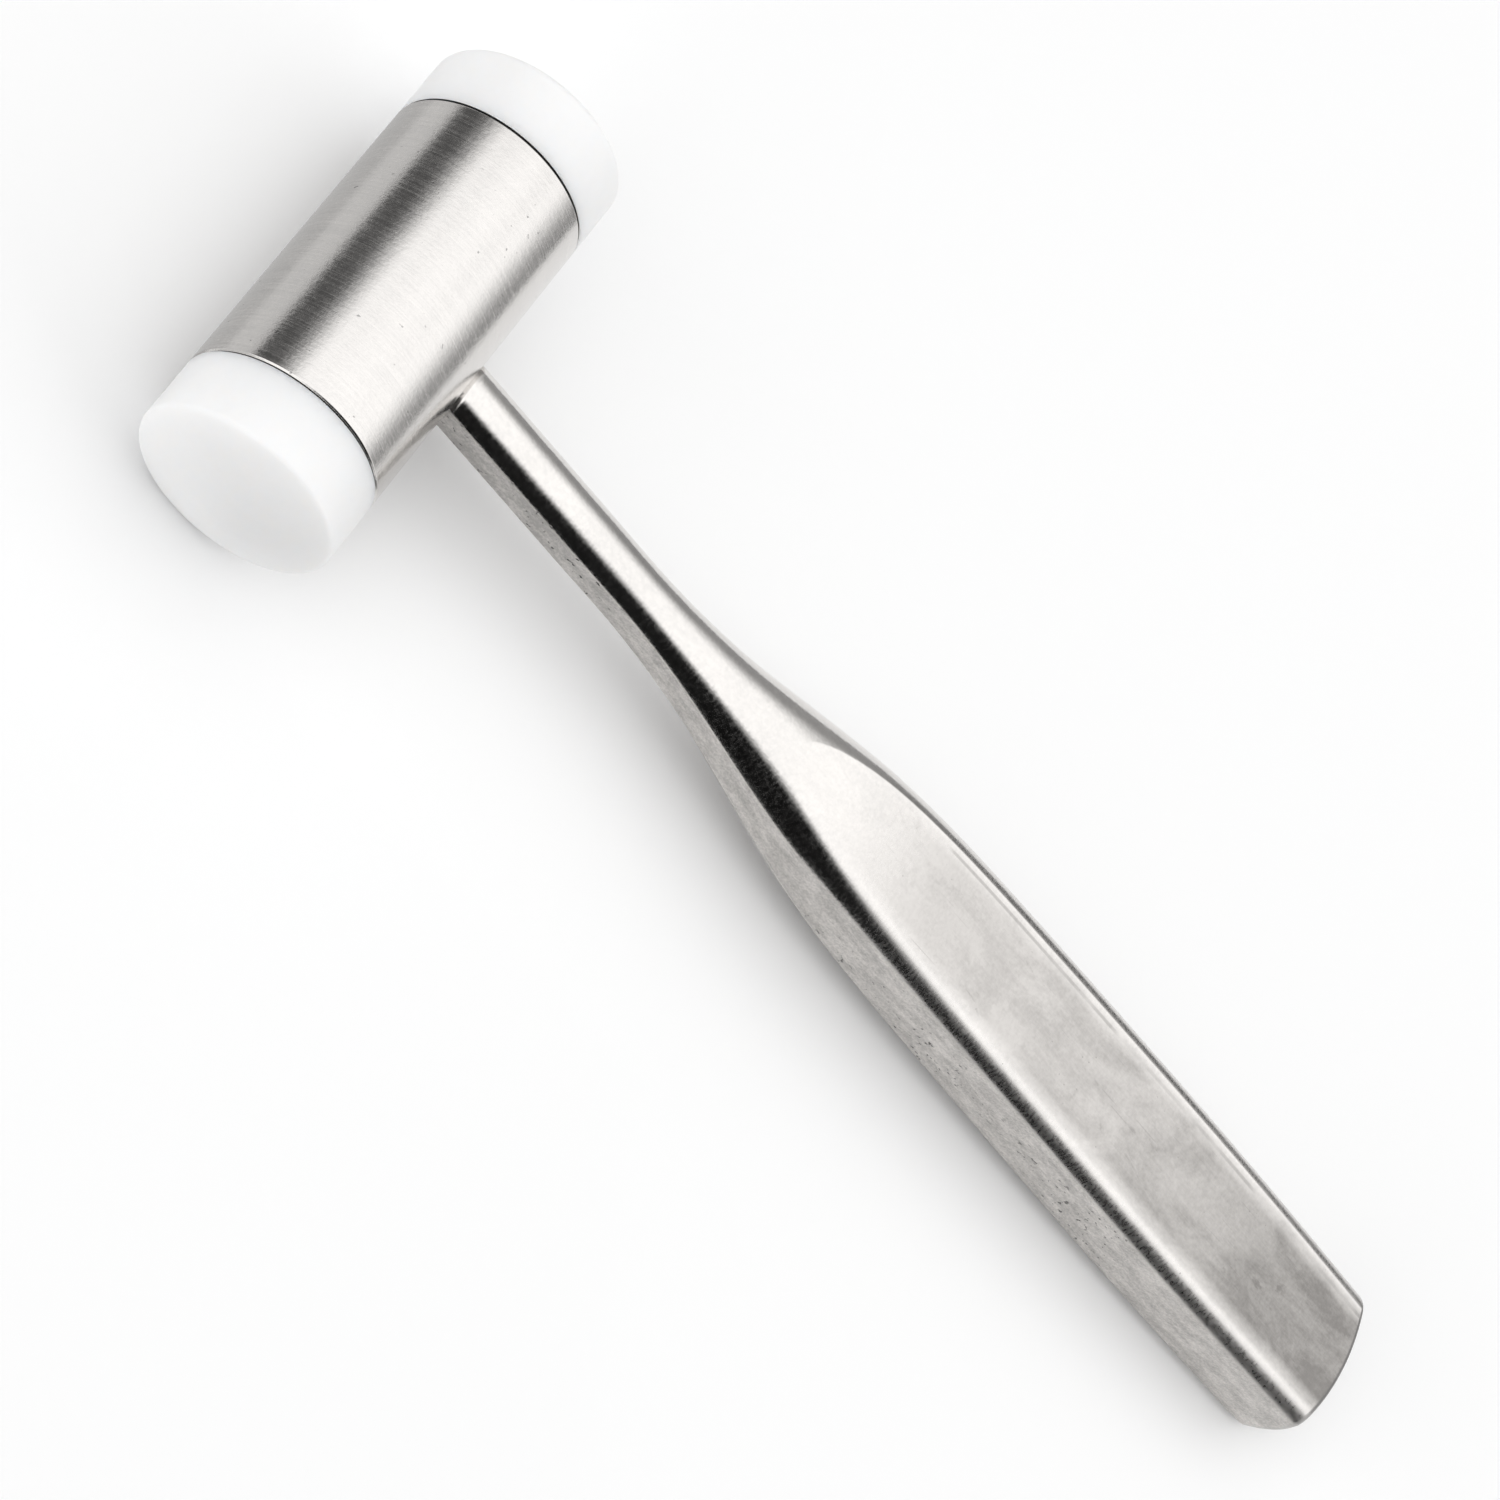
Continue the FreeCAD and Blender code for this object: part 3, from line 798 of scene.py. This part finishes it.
def tent_cloth():
    """Bright cloth with cards on it. A card's share is a smooth step of the cosine between its
    direction and the point's, times a smooth step down of height over radius."""
    f = Finish("tent_cloth")
    x, y, z = (f.along(axis) for axis in "XYZ")
    light = TENT_LIGHT
    for direction, half, soft, fading, gone, level in CARDS:
        turn = math.radians(direction)
        toward = x * (math.cos(turn) / TENT_RADIUS) + y * (math.sin(turn) / TENT_RADIUS)
        edges = math.cos(math.radians(half + soft)), math.cos(math.radians(half - soft))
        heights = [math.tan(math.radians(angle)) * TENT_RADIUS for angle in (fading, gone)]
        share = toward.between(*edges) * (1 - z.between(*heights))
        light = light * (1 - share) + level * share
    glow = f.node("ShaderNodeEmission", {}, {"Strength": light}, "Emission")
    f.node("ShaderNodeOutputMaterial", {}, {"Surface": glow}, None)
    return f.material


def tent(around=96):
    """Upright cloth wall round the table: (radius * cos a, radius * sin a) from floor to height."""
    a = np.linspace(0, 2 * math.pi, around, endpoint=False)
    ring = TENT_RADIUS * np.stack([np.cos(a), np.sin(a)], axis=-1)
    low = np.concatenate([ring, np.zeros((around, 1))], axis=1)
    high = np.concatenate([ring, np.full((around, 1), TENT_HEIGHT)], axis=1)
    j = np.arange(around)
    after = (j + 1) % around
    quads = np.stack([after, j, j + around, after + around], axis=-1)
    mesh = bpy.data.meshes.new("tent")
    mesh.from_pydata(np.concatenate([low, high]).tolist(), [], quads.tolist())
    mesh.materials.append(tent_cloth())
    wall = bpy.data.objects.new("tent", mesh)
    bpy.context.scene.collection.objects.link(wall)
    wall.visible_camera = False


def reflected_card(name, outline, light, height=0.0005):
    """Card lying on the floor that only reflections see: it isn't in view and casts nothing."""
    f = Finish(name)
    glow = f.node("ShaderNodeEmission", {}, {"Strength": light}, "Emission")
    f.node("ShaderNodeOutputMaterial", {}, {"Surface": glow}, None)
    card = flat_card(name, outline, height, f.material)
    card.visible_camera = False
    card.visible_diffuse = False
    card.visible_shadow = False
    card.visible_transmission = False


flat_card("floor", [
    (-FLOOR_REACH, -FLOOR_REACH), (FLOOR_REACH, -FLOOR_REACH),
    (FLOOR_REACH, FLOOR_REACH), (-FLOOR_REACH, FLOOR_REACH),
], 0, floor_paint())
reflected_card("dark_floor_card", [
    (-0.30, -0.90), (0.45, -0.90), (0.08, -0.17), (0.00, -0.035), (-0.075, -0.035), (-0.12, -0.07),
], 0.01)
reflected_card("grey_floor_card", [
    (-0.60, -0.20), (-0.105, -0.20), (-0.105, 0.50), (-0.60, 0.50),
], 0.70)
reflected_card("drum_floor_card", [
    (-0.112, -0.024), (-0.088, -0.024), (-0.088, 0.070), (-0.112, 0.070),
], 0.55, height=0.001)
reflected_card("far_floor_card", [
    (0.17, 0.10), (0.80, 0.55), (0.40, 0.88), (0.08, 0.14),
], 0.20)
tent()

lamp = bpy.data.lights.new("overhead_softbox", "AREA")
lamp.shape = "DISK"
lamp.size = 2 * TENT_RADIUS
# together with the world seen through it, the lamp is as light as the cloth
lamp.energy = (TENT_LIGHT - ROOM_LIGHT) * math.pi * math.pi * TENT_RADIUS**2
softbox = bpy.data.objects.new("overhead_softbox", lamp)
softbox.location = (0, 0, TENT_HEIGHT)
softbox.visible_camera = False
bpy.context.scene.collection.objects.link(softbox)

world = bpy.data.worlds.new("studio")
bpy.context.scene.world = world
world.use_nodes = True
world.node_tree.nodes["Background"].inputs["Color"].default_value = (1, 1, 1, 1)
world.node_tree.nodes["Background"].inputs["Strength"].default_value = ROOM_LIGHT

# The camera, fitted to the photo
CAMERA_PLACE = (-0.20696410, -0.25743125, 0.43521140)
CAMERA_RIGHT = (0.62736730, 0.51078179, 0.58780289)
CAMERA_UP = (-0.69133443, 0.71274949, 0.11851108)
CAMERA_BACK = (-0.35842291, -0.48071835, 0.80027676)

lens = bpy.data.cameras.new("camera")
lens.sensor_width = 36
lens.lens = 115.2
lens.clip_start = 0.01
camera = bpy.data.objects.new("camera", lens)
turn = Matrix((CAMERA_RIGHT, CAMERA_UP, CAMERA_BACK)).transposed().to_4x4()
camera.matrix_world = Matrix.Translation(CAMERA_PLACE) @ turn
bpy.context.scene.collection.objects.link(camera)
bpy.context.scene.camera = camera

bpy.context.scene.view_settings.view_transform = "Standard"

bpy.context.view_layer.update()
